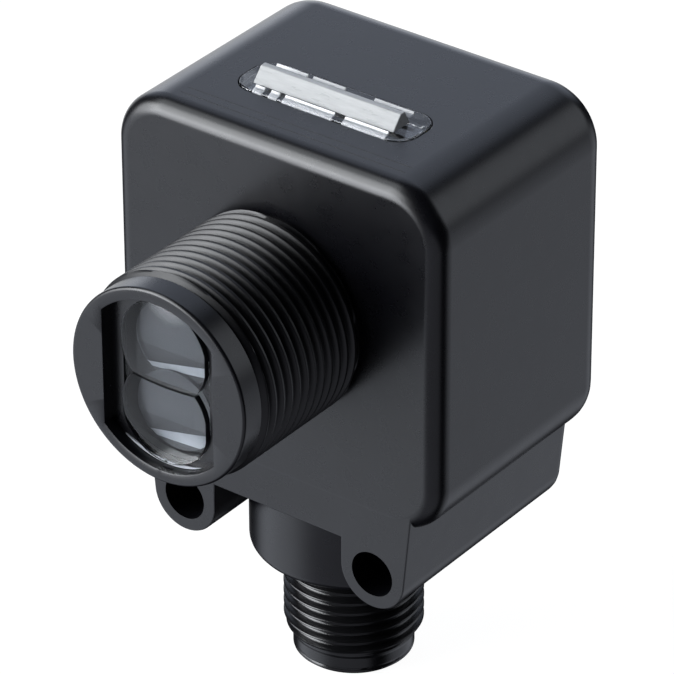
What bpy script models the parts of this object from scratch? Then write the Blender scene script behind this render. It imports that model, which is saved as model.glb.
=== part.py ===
"""Block-shaped photoelectric sensor with a threaded lens nose, a light window and a round plug connector.

The origin is the centre of the flat rear face, on the axis of the nose. The nose looks along -Y,
+Z is up, and the connector hangs below. Every piece is a closed solid at its real size, in metres.
"""

from math import acos, asin, cos, pi, radians, sin, sqrt, tau

import bmesh
import bpy
from mathutils import Matrix, Vector

MM = 0.001
GAP = 0.3 * MM
SEAM = 0.15 * MM
ROUND_STEPS = 48
SMALL_STEPS = 24
DOME_STEPS = 32
DOME_ROWS = 5

# Housing
WIDTH = 32.8 * MM
DEPTH = 23.5 * MM
TOP = 15.4 * MM
BOTTOM = -16.9 * MM
CORNER_RADIUS = 5.05 * MM
FRONT_FILLET = 1.6 * MM
REAR_FILLET = 2.8 * MM
WALL = 3.3 * MM
FRONT_WALL = 2.5 * MM
CAVITY_RADIUS = 2.0 * MM
POST_SIDE = 2.6 * MM
FRONT = -DEPTH

# Nose: M18 x 1 thread, modelled at its outside diameter
NOSE_RADIUS = 9.0 * MM
NOSE_LENGTH = 15.15 * MM
NOSE_BORE = 7.6 * MM
NOSE_FRONT = FRONT - NOSE_LENGTH
BEZEL_RADIUS = 8.7 * MM
BEZEL_LENGTH = 1.95 * MM
BEZEL_PLATE = 1.15 * MM
BEZEL_RECESS = 7.75 * MM
BEZEL_CHAMFER = 0.25 * MM
SLOT_HALF_WIDTH = 5.5 * MM
SLOT_ARC = 7.6 * MM

# Twin lens
LENS_RADIUS = 7.3 * MM
LENS_THICKNESS = 1.65 * MM
LOBE_RADIUS = 4.28 * MM
LOBE_CENTRE = 3.0 * MM
LOBE_HALF_WIDTH = 4.2 * MM
LOBE_CLEARANCE = 0.3 * MM
LOBE_SAG = 0.45 * MM
LOBE_SPLIT = 0.1 * MM

# Optics inside the nose
CARRIER_RADIUS = 7.3 * MM
CARRIER_BACK = FRONT + FRONT_WALL + 0.4 * MM
CHANNEL_RADIUS = 3.3 * MM
CHANNEL_OFFSET = 3.45 * MM
OPTICS_BOARD_THICKNESS = 1.0 * MM

# Indicator window on top
WINDOW_Y = FRONT + 8.15 * MM
WINDOW_LENGTH = 17.2 * MM
WINDOW_WIDTH = 4.9 * MM
WINDOW_CORNER = 1.8 * MM
WINDOW_THICKNESS = 1.8 * MM
WINDOW_SEAT_DEPTH = 2.5 * MM
WINDOW_LIP = 1.1 * MM
RIDGE_LENGTH = 14.0 * MM
RIDGE_HEIGHT = 1.3 * MM
RIDGE_BASE_FRONT = WINDOW_Y - 1.45 * MM
RIDGE_BASE_REAR = WINDOW_Y + 0.75 * MM
RIDGE_CREST_FRONT = WINDOW_Y - 0.4 * MM
RIDGE_CREST_REAR = WINDOW_Y + 0.15 * MM
SEAL_THICKNESS = 0.4 * MM

# Mounting ears, each with a plain through hole along Y
EAR_X = 9.76 * MM
EAR_Z = -21.8 * MM
EAR_RADIUS = 3.2 * MM
EAR_FLARE = radians(5.6)
EAR_TOP = -14.0 * MM
EAR_REAR_BEVEL = 1.2 * MM
EAR_FRONT = FRONT + 0.03 * MM
EAR_REAR = -0.4 * MM
EAR_HOLE = 2.05 * MM
APRON_BOTTOM = -19.5 * MM
APRON_FRONT = FRONT + 0.06 * MM
APRON_HALF = EAR_X - EAR_RADIUS + 1.0 * MM

# Connector: M12 x 1 plug, modelled at its outside diameter
CONNECTOR_Y = FRONT + 10.6 * MM
BOSS_RADIUS = 8.85 * MM
BOSS_BOTTOM = -27.4 * MM
BOSS_ROUND = 0.9 * MM
BOSS_TOP = -15.2 * MM
BOSS_BORE = 7.2 * MM
BOSS_FLOOR = 1.0 * MM
THREAD_RADIUS = 6.0 * MM
THREAD_END = -35.2 * MM
CHAMFER_END = -36.5 * MM
PILOT_RADIUS = 5.2 * MM
PLUG_END = -38.2 * MM
SLEEVE_FLANGE = 6.9 * MM
SLEEVE_TOP = -19.0 * MM
FLANGE_TOP = -21.5 * MM
CUP_RADIUS = 4.25 * MM
CUP_FLOOR = -29.2 * MM
KEY_WIDTH = 1.3 * MM
KEY_HEIGHT = 0.75 * MM
PIN_RADIUS = 0.5 * MM
PIN_CIRCLE = 2.12 * MM
PIN_TIP = -36.4 * MM
PIN_TAIL = -15.4 * MM
SEAL_RING_Z = -24.0 * MM
LEAD_RADIUS = 0.32 * MM

# Boards
BOARD_FRONT = -6.4 * MM
BOARD_BACK = -5.2 * MM
BOARD_HALF_WIDTH = 12.4 * MM
BOARD_LOW = -12.8 * MM
BOARD_HIGH = 11.4 * MM
INDICATOR_BOARD_Z = 8.6 * MM
INDICATOR_BOARD_THICKNESS = 0.8 * MM
LED_X = 4.0 * MM

# Rear cover and the sensitivity adjuster behind it
COVER_PLATE = 1.6 * MM
COVER_SKIRT = 4.9 * MM
SKIRT_WALL = 1.2 * MM
ADJUSTER_Z = -7.2 * MM
ADJUSTER_SIDE = 6.6 * MM
ADJUSTER_FRONT = -4.9 * MM
ADJUSTER_BACK = -2.5 * MM
ADJUSTER_POCKET = 2.7 * MM
ROTOR_RADIUS = 2.1 * MM
ROTOR_FLANGE = 2.6 * MM
ROTOR_FACE = -0.4 * MM
ROTOR_CLEARANCE = 0.08 * MM
WELL_RADIUS = 3.0 * MM
WELL_DEPTH = 0.5 * MM
ROTOR_SLOT_WIDTH = 0.8 * MM
ROTOR_SLOT_DEPTH = 0.7 * MM

# Rotations that turn a local XY outline or a local Z axis into the world
TO_XY = (0, 0, 0)
TO_XZ = (pi / 2, 0, 0)
TO_YZ = (pi / 2, 0, pi / 2)
TOWARDS_NOSE = (pi / 2, 0, 0)


# --- Scene and materials -------------------------------------------------------------------------


def clear_scene():
    for item in list(bpy.data.objects):
        bpy.data.objects.remove(item, do_unlink=True)


def new_collection(name):
    collection = bpy.data.collections.new(name)
    bpy.context.scene.collection.children.link(collection)
    return collection


def material(name, colour, roughness, metallic=0.0, alpha=1.0):
    made = bpy.data.materials.new(name)
    made.use_nodes = True
    shader = made.node_tree.nodes["Principled BSDF"]
    shader.inputs["Base Color"].default_value = (*colour, 1.0)
    shader.inputs["Roughness"].default_value = roughness
    shader.inputs["Metallic"].default_value = metallic
    shader.inputs["Alpha"].default_value = alpha
    made.diffuse_color = (*colour, alpha)
    return made


clear_scene()
PARTS = new_collection("photoelectric_sensor")
CUTTERS = new_collection("cutters")

BLACK_HOUSING = material("black_housing", (0.022, 0.023, 0.027), 0.42)
BLACK_BEZEL = material("black_bezel", (0.020, 0.021, 0.025), 0.38)
BLACK_COVER = material("black_cover", (0.024, 0.025, 0.029), 0.48)
BLACK_SLEEVE = material("black_sleeve", (0.012, 0.012, 0.013), 0.50)
BLACK_INSERT = material("black_insert", (0.015, 0.015, 0.016), 0.60)
BLACK_OPTICS = material("black_optics", (0.008, 0.008, 0.009), 0.75)
CLEAR_LENS = material("clear_lens", (0.80, 0.84, 0.84), 0.04, alpha=0.35)
CLEAR_WINDOW = material("clear_window", (0.82, 0.84, 0.84), 0.12, alpha=0.35)
SEAL_RUBBER = material("seal_rubber", (0.03, 0.03, 0.03), 0.80)
BOARD_GREEN = material("board_green", (0.02, 0.16, 0.07), 0.40)
FLEX_AMBER = material("flex_amber", (0.45, 0.20, 0.04), 0.35)
CHIP_BLACK = material("chip_black", (0.02, 0.02, 0.02), 0.55)
CAN_STEEL = material("can_steel", (0.62, 0.62, 0.60), 0.28, 1.0)
CAPACITOR_SLEEVE = material("capacitor_sleeve", (0.03, 0.05, 0.16), 0.35)
PIN_GOLD = material("pin_gold", (0.83, 0.62, 0.24), 0.22, 1.0)
LEAD_COPPER = material("lead_copper", (0.72, 0.38, 0.22), 0.30, 1.0)
LED_RED = material("led_red", (0.50, 0.04, 0.04), 0.15, alpha=0.8)
LED_GREEN = material("led_green", (0.10, 0.50, 0.16), 0.15, alpha=0.8)
LED_YELLOW = material("led_yellow", (0.75, 0.52, 0.06), 0.15, alpha=0.8)
DIODE_DARK = material("diode_dark", (0.03, 0.02, 0.04), 0.10)
ADJUSTER_BLUE = material("adjuster_blue", (0.04, 0.10, 0.30), 0.40)
ROTOR_GREY = material("rotor_grey", (0.30, 0.31, 0.32), 0.40)


# --- Modelling helpers ---------------------------------------------------------------------------


def place(name, mesh, finish, cutter=False, location=(0, 0, 0), rotation=(0, 0, 0)):
    """A new object in the parts, or a hidden one in the cutters."""
    piece = bpy.data.objects.new(name, mesh)
    piece.location = location
    piece.rotation_euler = rotation
    if cutter:
        CUTTERS.objects.link(piece)
        piece.hide_render = True
        piece.display_type = "WIRE"
    else:
        PARTS.objects.link(piece)
        mesh.materials.append(finish)
    return piece


def finished_mesh(name, shape):
    """Turns a bmesh into a mesh with smooth rounds and sharp corners."""
    bmesh.ops.recalc_face_normals(shape, faces=shape.faces)
    mesh = bpy.data.meshes.new(name)
    shape.to_mesh(mesh)
    shape.free()
    mesh.shade_smooth()
    mesh.set_sharp_from_angle(angle=radians(35))
    return mesh


def box(name, low, high, finish=None, bevel=0.0, cutter=False):
    """A box between two corners, about its own centre, with its edges broken by bevel."""
    low, high = Vector(low), Vector(high)
    shape = bmesh.new()
    bmesh.ops.create_cube(shape, size=1)
    bmesh.ops.scale(shape, vec=high - low, verts=shape.verts)
    if bevel:
        bmesh.ops.bevel(shape, geom=shape.edges[:], offset=bevel, segments=1, affect="EDGES")
    return place(name, finished_mesh(name, shape), finish, cutter, location=(low + high) / 2)


def rounded_box(name, low, high, radius, front, rear, steps, finish=None, cutter=False):
    """A box whose four edges along Y are rounded, and then its front and rear rims."""
    low, high = Vector(low), Vector(high)
    size = high - low
    shape = bmesh.new()
    bmesh.ops.create_cube(shape, size=1)
    bmesh.ops.scale(shape, vec=size, verts=shape.verts)
    upright = [edge for edge in shape.edges if abs(edge.verts[0].co.y - edge.verts[1].co.y) > size.y / 2]
    bmesh.ops.bevel(shape, geom=upright, offset=radius, segments=steps, profile=0.5, affect="EDGES")
    for side, fillet, rows in ((-1, front, 3), (1, rear, 5)):
        if not fillet:
            continue
        rim = [edge for edge in shape.edges if all(v.co.y * side > size.y / 2 - 1e-6 for v in edge.verts)]
        bmesh.ops.bevel(shape, geom=rim, offset=fillet, segments=rows, profile=0.5, affect="EDGES")
    return place(name, finished_mesh(name, shape), finish, cutter, location=(low + high) / 2)


def cylinder(name, radius, length, location, rotation=(0, 0, 0), steps=ROUND_STEPS, finish=None,
             cutter=False):
    """A cylinder that runs from its location along its own +Z."""
    shape = bmesh.new()
    bmesh.ops.create_cone(
        shape, cap_ends=True, segments=steps, radius1=radius, radius2=radius, depth=length,
        matrix=Matrix.Translation((0, 0, length / 2)),
    )
    return place(name, finished_mesh(name, shape), finish, cutter, location, rotation)


def turned(name, profile, location, rotation=(0, 0, 0), steps=ROUND_STEPS, closed=False, finish=None,
           cutter=False):
    """A (radius, height) profile, listed down its outer side, turned about its own Z."""
    mesh = bpy.data.meshes.new(name)
    count = len(profile)
    edges = [(i, (i + 1) % count) for i in range(count if closed else count - 1)]
    mesh.from_pydata([(radius, 0, height) for radius, height in profile], edges, [])
    piece = place(name, mesh, finish, cutter, location, rotation)
    screw = piece.modifiers.new("Turn", "SCREW")
    screw.axis = "Z"
    screw.angle = tau
    screw.steps = steps
    screw.render_steps = steps
    screw.use_merge_vertices = True
    screw.merge_threshold = 0.00001
    return piece


def mesh_of(guide, name):
    """The evaluated mesh of a curve object, with its caps made single faces welded to its sides."""
    bpy.context.view_layer.update()
    graph = bpy.context.evaluated_depsgraph_get()
    mesh = bpy.data.meshes.new_from_object(guide.evaluated_get(graph))
    shape = bmesh.new()
    shape.from_mesh(mesh)
    bpy.data.meshes.remove(mesh)
    bmesh.ops.remove_doubles(shape, verts=shape.verts, dist=0.000001)
    bmesh.ops.dissolve_limit(shape, angle_limit=radians(0.5), verts=shape.verts, edges=shape.edges)
    return finished_mesh(name, shape)


def prism(name, outline, rotation, start, end, finish=None, cutter=False):
    """A flat outline turned into a world plane and thickened from start to end along its normal."""
    curve = bpy.data.curves.new(name, "CURVE")
    curve.dimensions = "2D"
    curve.fill_mode = "BOTH"
    curve.extrude = abs(end - start) / 2
    spline = curve.splines.new("POLY")
    spline.points.add(len(outline) - 1)
    for point, (u, v) in zip(spline.points, outline):
        point.co = (u, v, 0, 1)
    spline.use_cyclic_u = True
    guide = bpy.data.objects.new(name + "_outline", curve)
    PARTS.objects.link(guide)
    mesh = mesh_of(guide, name)
    bpy.data.objects.remove(guide, do_unlink=True)
    middle = (start + end) / 2
    location = {TO_XY: (0, 0, middle), TO_XZ: (0, middle, 0), TO_YZ: (middle, 0, 0)}[rotation]
    return place(name, mesh, finish, cutter, location, rotation)


def tube(name, points, radius, finish):
    """A round wire along a list of points."""
    curve = bpy.data.curves.new(name, "CURVE")
    curve.dimensions = "3D"
    curve.bevel_depth = radius
    curve.bevel_resolution = 2
    curve.use_fill_caps = True
    spline = curve.splines.new("POLY")
    spline.points.add(len(points) - 1)
    for point, position in zip(spline.points, points):
        point.co = (*position, 1)
    guide = bpy.data.objects.new(name + "_route", curve)
    PARTS.objects.link(guide)
    mesh = mesh_of(guide, name)
    bpy.data.objects.remove(guide, do_unlink=True)
    return place(name, mesh, finish)


def combine(piece, other, operation):
    modifier = piece.modifiers.new(other.name, "BOOLEAN")
    modifier.operation = operation
    modifier.solver = "EXACT"
    modifier.object = other


def cut(piece, *cutters):
    for cutter in cutters:
        combine(piece, cutter, "DIFFERENCE")


def join(piece, *others):
    for other in others:
        combine(piece, other, "UNION")


def arc(radius, start, end, count, centre=(0, 0)):
    """Points along an arc, from the start angle to the end angle."""
    step = (end - start) / (count - 1)
    angles = [start + step * i for i in range(count)]
    return [(centre[0] + radius * cos(angle), centre[1] + radius * sin(angle)) for angle in angles]


def rounded_rectangle(low, high, radius, count=5):
    """A rectangle outline with round corners."""
    corners = ((high[0], low[1]), (high[0], high[1]), (low[0], high[1]), (low[0], low[1]))
    points = []
    for turn, (u, v) in enumerate(corners):
        start = -pi / 2 + turn * pi / 2
        inward = (u - radius if u > low[0] else u + radius, v - radius if v > low[1] else v + radius)
        points += arc(radius, start, start + pi / 2, count, inward)
    return points


def window_outline(margin):
    """The window's rounded outline in the top face, grown by margin on every side."""
    half_length, half_width = WINDOW_LENGTH / 2 + margin, WINDOW_WIDTH / 2 + margin
    return rounded_rectangle((-half_length, WINDOW_Y - half_width), (half_length, WINDOW_Y + half_width),
                             WINDOW_CORNER + margin)


def double_flat(radius, half_width, count=13):
    """A circle cut by two upright chords."""
    rise = acos(half_width / radius)
    return arc(radius, rise, pi - rise, count) + arc(radius, pi + rise, tau - rise, count)


def smooth_route(corners, count=3):
    """A Catmull-Rom curve through hand-set points."""
    knots = [Vector(corner) for corner in corners]
    knots = [2 * knots[0] - knots[1]] + knots + [2 * knots[-1] - knots[-2]]
    points = []
    for a, b, c, d in zip(knots, knots[1:], knots[2:], knots[3:]):
        for i in range(count):
            t = i / count
            points.append(
                0.5 * (2 * b + (c - a) * t + (2 * a - 5 * b + 4 * c - d) * t**2
                       + (3 * b - a - 3 * c + d) * t**3)
            )
    return points + [knots[-2]]


# --- Housing and covers --------------------------------------------------------------------------


def ear_outline(side):
    """One ear, seen from the front: a round end, an upright inner side and a flared outer side."""
    tangent = arc(EAR_RADIUS, pi, tau - EAR_FLARE, 13, (EAR_X, EAR_Z))
    outer_u, outer_v = tangent[-1]
    top_u = outer_u + (EAR_TOP - outer_v) * sin(EAR_FLARE) / cos(EAR_FLARE)
    points = tangent + [(top_u, EAR_TOP), (EAR_X - EAR_RADIUS, EAR_TOP)]
    return [(u * side, v) for u, v in points]


def ear(side):
    name = f"ear_{'right' if side > 0 else 'left'}"
    solid = prism(name, ear_outline(side), TO_XZ, EAR_FRONT, EAR_REAR, cutter=True)
    shape = bmesh.new()
    shape.from_mesh(solid.data)
    rear = min(vertex.co.z for vertex in shape.verts)
    rim = [edge for edge in shape.edges if all(v.co.z < rear + 1e-6 for v in edge.verts)]
    bmesh.ops.bevel(shape, geom=rim, offset=EAR_REAR_BEVEL, segments=2, profile=0.5, affect="EDGES")
    shape.to_mesh(solid.data)
    shape.free()
    return solid


def boss():
    """The round boss under the housing, with a rounded lower edge."""
    centre = (BOSS_RADIUS - BOSS_ROUND, BOSS_BOTTOM + BOSS_ROUND)
    profile = [(0, BOSS_TOP), (BOSS_RADIUS, BOSS_TOP)] + arc(BOSS_ROUND, 0, -pi / 2, 5, centre)
    return turned("boss", profile + [(0, BOSS_BOTTOM)], (0, CONNECTOR_Y, 0), cutter=True)


def cavity_corners():
    half = WIDTH / 2 - WALL
    return (-half, BOTTOM + WALL), (half, TOP - WALL)


def make_housing():
    """The main shell with its nose barrel, ears and boss, open at the rear."""
    housing = rounded_box(
        "housing", (-WIDTH / 2, FRONT, BOTTOM), (WIDTH / 2, 0, TOP),
        CORNER_RADIUS, FRONT_FILLET, REAR_FILLET, 7, BLACK_HOUSING,
    )
    barrel_front = NOSE_FRONT + BEZEL_LENGTH + GAP
    barrel = cylinder(
        "barrel", NOSE_RADIUS, FRONT - barrel_front + FRONT_WALL / 2,
        (0, FRONT + FRONT_WALL / 2, 0), TOWARDS_NOSE, cutter=True,
    )
    apron = box("apron", (-APRON_HALF, APRON_FRONT, APRON_BOTTOM),
                (APRON_HALF, CONNECTOR_Y, EAR_TOP - 0.3 * MM), cutter=True)
    join(housing, barrel, boss(), ear(-1), ear(1), apron)

    (low_x, low_z), (high_x, high_z) = cavity_corners()
    cavity = prism(
        "cavity", rounded_rectangle((low_x, low_z), (high_x, high_z), CAVITY_RADIUS),
        TO_XZ, FRONT + FRONT_WALL, 1 * MM, cutter=True,
    )
    bore = cylinder("nose_bore", NOSE_BORE, NOSE_LENGTH + 3 * MM, (0, CARRIER_BACK, 0), TOWARDS_NOSE,
                    cutter=True)
    window_seat = prism("window_seat", window_outline(SEAM), TO_XY, TOP - WINDOW_SEAT_DEPTH, TOP + 1 * MM,
                        cutter=True)
    light_slot = prism("light_slot", window_outline(-WINDOW_LIP), TO_XY, high_z - 1 * MM,
                       TOP - WINDOW_SEAT_DEPTH + 1 * MM, cutter=True)
    boss_bore = cylinder("boss_bore", BOSS_BORE, low_z + 1 * MM - (BOSS_BOTTOM + BOSS_FLOOR),
                         (0, CONNECTOR_Y, BOSS_BOTTOM + BOSS_FLOOR), cutter=True)
    sleeve_hole = cylinder("sleeve_hole", THREAD_RADIUS + SEAM, 3 * MM,
                           (0, CONNECTOR_Y, BOSS_BOTTOM - 1 * MM), cutter=True)
    ear_holes = [
        cylinder(f"ear_hole_{name}", EAR_HOLE, DEPTH + 2 * MM, (x, 1 * MM, EAR_Z), TOWARDS_NOSE,
                 SMALL_STEPS, cutter=True)
        for name, x in (("left", -EAR_X), ("right", EAR_X))
    ]
    cut(housing, cavity, bore, window_seat, light_slot, boss_bore, sleeve_hole, *ear_holes)

    posts = []
    for side_x in (-1, 1):
        for name, z in (("low", low_z), ("high", high_z)):
            inner = z + POST_SIDE if z < 0 else z - POST_SIDE
            outer = z - 1 * MM if z < 0 else z + 1 * MM
            xs = sorted((side_x * (high_x - POST_SIDE), side_x * (high_x + 1 * MM)))
            zs = sorted((inner, outer))
            posts.append(
                box(f"post_{name}_{'right' if side_x > 0 else 'left'}",
                    (xs[0], FRONT + FRONT_WALL / 2, zs[0]),
                    (xs[1], BOARD_FRONT - GAP, zs[1]), cutter=True)
            )
    join(housing, *posts)


def make_rear_cover():
    """The plate that closes the rear, with a skirt that holds the main board against its posts."""
    (low_x, low_z), (high_x, high_z) = cavity_corners()
    low = (low_x + SEAM, low_z + SEAM)
    high = (high_x - SEAM, high_z - SEAM)
    cover = prism("rear_cover", rounded_rectangle(low, high, CAVITY_RADIUS - SEAM), TO_XZ,
                  -COVER_SKIRT, 0, BLACK_COVER)
    hollow = prism(
        "cover_hollow",
        rounded_rectangle((low[0] + SKIRT_WALL, low[1] + SKIRT_WALL),
                          (high[0] - SKIRT_WALL, high[1] - SKIRT_WALL), CAVITY_RADIUS / 2),
        TO_XZ, -COVER_SKIRT - 1 * MM, -COVER_PLATE, cutter=True,
    )
    rotor_hole = cylinder("rotor_hole", ROTOR_RADIUS + ROTOR_CLEARANCE, 4 * MM, (0, 1 * MM, ADJUSTER_Z),
                          TOWARDS_NOSE, cutter=True)
    well = cylinder("adjuster_well", WELL_RADIUS, WELL_DEPTH + 1 * MM, (0, 1 * MM, ADJUSTER_Z),
                    TOWARDS_NOSE, cutter=True)
    cut(cover, hollow, rotor_hole, well)


# --- Optics --------------------------------------------------------------------------------------


def make_lens_bezel():
    """The nose cap: a plate with a slot for the lenses, and a recess behind it for their flange."""
    back = BEZEL_LENGTH
    profile = [
        (0, back),
        (BEZEL_RADIUS - BEZEL_CHAMFER, back),
        (BEZEL_RADIUS, back - BEZEL_CHAMFER),
        (BEZEL_RADIUS, 0),
        (BEZEL_RECESS, 0),
        (BEZEL_RECESS, back - BEZEL_PLATE),
        (0, back - BEZEL_PLATE),
    ]
    bezel = turned("lens_bezel", profile, (0, NOSE_FRONT + BEZEL_LENGTH, 0), TOWARDS_NOSE,
                   finish=BLACK_BEZEL)
    slot = prism("lens_slot", double_flat(SLOT_ARC, SLOT_HALF_WIDTH), TO_XZ,
                 NOSE_FRONT - 1 * MM, NOSE_FRONT + BEZEL_LENGTH + 1 * MM, cutter=True)
    cut(bezel, slot)


def lobe_outline(side):
    """A circle cut flat at both sides and where it meets the other lobe."""
    side_rise = acos(LOBE_HALF_WIDTH / LOBE_RADIUS)
    dip = asin((LOBE_CENTRE - LOBE_SPLIT) / LOBE_RADIUS)
    outline = arc(LOBE_RADIUS, side_rise, pi - side_rise, 15, (0, LOBE_CENTRE))
    if dip > side_rise:
        outline += arc(LOBE_RADIUS, pi + side_rise, pi + dip, 4, (0, LOBE_CENTRE))
        outline += arc(LOBE_RADIUS, tau - dip, tau - side_rise, 4, (0, LOBE_CENTRE))
    else:
        outline += [(-LOBE_HALF_WIDTH, LOBE_SPLIT), (LOBE_HALF_WIDTH, LOBE_SPLIT)]
    return [(u, v * side) for u, v in outline]


def make_twin_lens():
    """One clear moulding: a flange with two domed lobes, one above the other."""
    front = NOSE_FRONT + BEZEL_PLATE + SEAM
    lens = cylinder("twin_lens", LENS_RADIUS, LENS_THICKNESS, (0, front + LENS_THICKNESS, 0),
                    TOWARDS_NOSE, finish=CLEAR_LENS)
    apex = front - NOSE_FRONT - LOBE_CLEARANCE
    sphere = (LOBE_RADIUS**2 + LOBE_SAG**2) / (2 * LOBE_SAG)
    reach = LOBE_RADIUS * 1.1
    dome = []
    for i in range(DOME_ROWS):
        radius = reach * i / (DOME_ROWS - 1)
        dome.append((radius, apex - sphere + sqrt(sphere**2 - radius**2)))
    for name, side in (("upper", 1), ("lower", -1)):
        lobe = prism(f"lobe_{name}", lobe_outline(side), TO_XZ, NOSE_FRONT - 1 * MM,
                     front + LENS_THICKNESS / 2, cutter=True)
        cap = turned(f"dome_{name}", dome + [(reach, -1 * MM), (0, -1 * MM)],
                     (0, front, side * LOBE_CENTRE), TOWARDS_NOSE, DOME_STEPS, cutter=True)
        combine(lobe, cap, "INTERSECT")
        join(lens, lobe)


def make_lens_seal():
    """The flat rubber ring between the lens flange and the optics carrier."""
    front = NOSE_FRONT + BEZEL_PLATE + SEAM + LENS_THICKNESS + SEAM
    seal = cylinder("lens_seal", LENS_RADIUS, SEAL_THICKNESS, (0, front + SEAL_THICKNESS, 0),
                    TOWARDS_NOSE, finish=SEAL_RUBBER)
    opening = prism("seal_opening", double_flat(LENS_RADIUS - 0.6 * MM, 4.9 * MM), TO_XZ,
                    front - 1 * MM, front + SEAL_THICKNESS + 1 * MM, cutter=True)
    cut(seal, opening)


def make_optics_carrier():
    """The black barrel insert that keeps the sending and receiving light paths apart."""
    front = NOSE_FRONT + BEZEL_PLATE + LENS_THICKNESS + SEAL_THICKNESS + 3 * SEAM
    carrier = cylinder("optics_carrier", CARRIER_RADIUS, CARRIER_BACK - front, (0, CARRIER_BACK, 0),
                       TOWARDS_NOSE, finish=BLACK_OPTICS)
    for name, side in (("upper", 1), ("lower", -1)):
        channel = cylinder(f"channel_{name}", CHANNEL_RADIUS, CARRIER_BACK - front + 2 * MM,
                           (0, CARRIER_BACK + 1 * MM, side * CHANNEL_OFFSET), TOWARDS_NOSE,
                           SMALL_STEPS, cutter=True)
        cut(carrier, channel)


def make_optics_board():
    """The small board behind the carrier, with the emitter and the receiver on its front."""
    front = CARRIER_BACK + GAP
    back = front + OPTICS_BOARD_THICKNESS
    box("optics_board", (-7.4 * MM, front, -7.6 * MM), (7.4 * MM, back, 7.6 * MM), BOARD_GREEN,
        bevel=0.1 * MM)

    base = front - GAP
    length, radius, flange = 4.6 * MM, 1.5 * MM, 1.9 * MM
    dome = arc(radius, pi / 2, 0, 6, (0, length - radius))
    profile = dome + [(radius, 1 * MM), (flange, 1 * MM), (flange, 0), (0, 0)]
    turned("emitter_led", profile, (0, base, -CHANNEL_OFFSET), TOWARDS_NOSE, SMALL_STEPS, finish=LED_RED)

    half = 1.8 * MM
    box("receiver_photodiode", (-half, base - 1.8 * MM, CHANNEL_OFFSET - half),
        (half, base, CHANNEL_OFFSET + half), DIODE_DARK, bevel=0.15 * MM)

    chip("amplifier_chip", (0, back + GAP, CHANNEL_OFFSET), (4 * MM, 3 * MM), 0.9 * MM, 4, rear_side=True)
    make_receiver_shield(back + GAP)


def make_receiver_shield(board_face):
    """A folded steel can over the receiver's amplifier, open towards its board."""
    depth, half, wall = 2.6 * MM, 3.4 * MM, 0.25 * MM
    shape = bmesh.new()
    bmesh.ops.create_cube(shape, size=1)
    bmesh.ops.scale(shape, vec=(2 * half, depth, 2 * half), verts=shape.verts)
    open_side = min(shape.faces, key=lambda face: face.calc_center_median().y)
    bmesh.ops.delete(shape, geom=[open_side], context="FACES")
    mesh = finished_mesh("receiver_shield", shape)
    shield = place("receiver_shield", mesh, CAN_STEEL,
                   location=(0, board_face + depth / 2, CHANNEL_OFFSET))
    shell = shield.modifiers.new("Sheet", "SOLIDIFY")
    shell.thickness = wall
    shell.offset = -1
    shell.use_even_offset = True


# --- Boards and components -----------------------------------------------------------------------


def chip(name, centre, size, height, pins, rear_side=False):
    """A moulded chip that sits on a board face at centre, with flat leads along both sides."""
    x, y, z = centre
    outward = 1 if rear_side else -1
    ys = sorted((y, y + outward * height))
    body = box(name, (x - size[0] / 2, ys[0], z - size[1] / 2), (x + size[0] / 2, ys[1], z + size[1] / 2),
               CHIP_BLACK, bevel=0.12 * MM)
    lead_width, lead_reach, lead_thick = 0.35 * MM, 0.7 * MM, 0.3 * MM
    level = sorted((y + outward * 0.02 * MM, y + outward * lead_thick))
    for i in range(pins):
        u = x + size[0] * ((i + 0.5) / pins - 0.5)
        lead = box(f"{name}_lead_{i}",
                   (u - lead_width / 2, level[0], z - size[1] / 2 - lead_reach),
                   (u + lead_width / 2, level[1], z + size[1] / 2 + lead_reach), cutter=True)
        join(body, lead)


def make_main_board():
    """The upright board behind the optics, with its power and control parts on the front."""
    box("main_board", (-BOARD_HALF_WIDTH, BOARD_FRONT, BOARD_LOW),
        (BOARD_HALF_WIDTH, BOARD_BACK, BOARD_HIGH), BOARD_GREEN, bevel=0.1 * MM)
    face = BOARD_FRONT - GAP
    chip("controller_chip", (-6.8 * MM, face, 3.4 * MM), (6 * MM, 5 * MM), 1.2 * MM, 7)
    chip("output_driver", (7.6 * MM, face, -3.6 * MM), (5 * MM, 4 * MM), 1.5 * MM, 4)
    chip("voltage_regulator", (7.6 * MM, face, 3.8 * MM), (6.2 * MM, 5.4 * MM), 2.2 * MM, 3)

    radius, height, groove = 2.4 * MM, 5.4 * MM, 0.25 * MM
    profile = [
        (0, height), (radius - 0.2 * MM, height), (radius, height - 0.2 * MM),
        (radius, 1.4 * MM), (radius - groove, 1.1 * MM), (radius, 0.8 * MM),
        (radius, 0), (0, 0),
    ]
    turned("buffer_capacitor", profile, (-7.6 * MM, face, -5.4 * MM), TOWARDS_NOSE, SMALL_STEPS,
           finish=CAPACITOR_SLEEVE)


def make_board_link():
    """The flat flexible strip that carries the signals from the optics board to the main board."""
    start = CARRIER_BACK + GAP + OPTICS_BOARD_THICKNESS + GAP
    end = BOARD_FRONT - GAP
    half_thickness = 0.15 * MM
    low_z, high_z = -3.4 * MM, -1.4 * MM
    count = 9
    centre_line = []
    for i in range(count):
        t = i / (count - 1)
        centre_line.append((start + (end - start) * t, low_z + (high_z - low_z) * (1 - cos(pi * t)) / 2))
    upper = [(y, z + half_thickness) for y, z in centre_line]
    lower = [(y, z - half_thickness) for y, z in reversed(centre_line)]
    half_width = 3 * MM
    prism("board_link", upper + lower, TO_YZ, -half_width, half_width, FLEX_AMBER)


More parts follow.
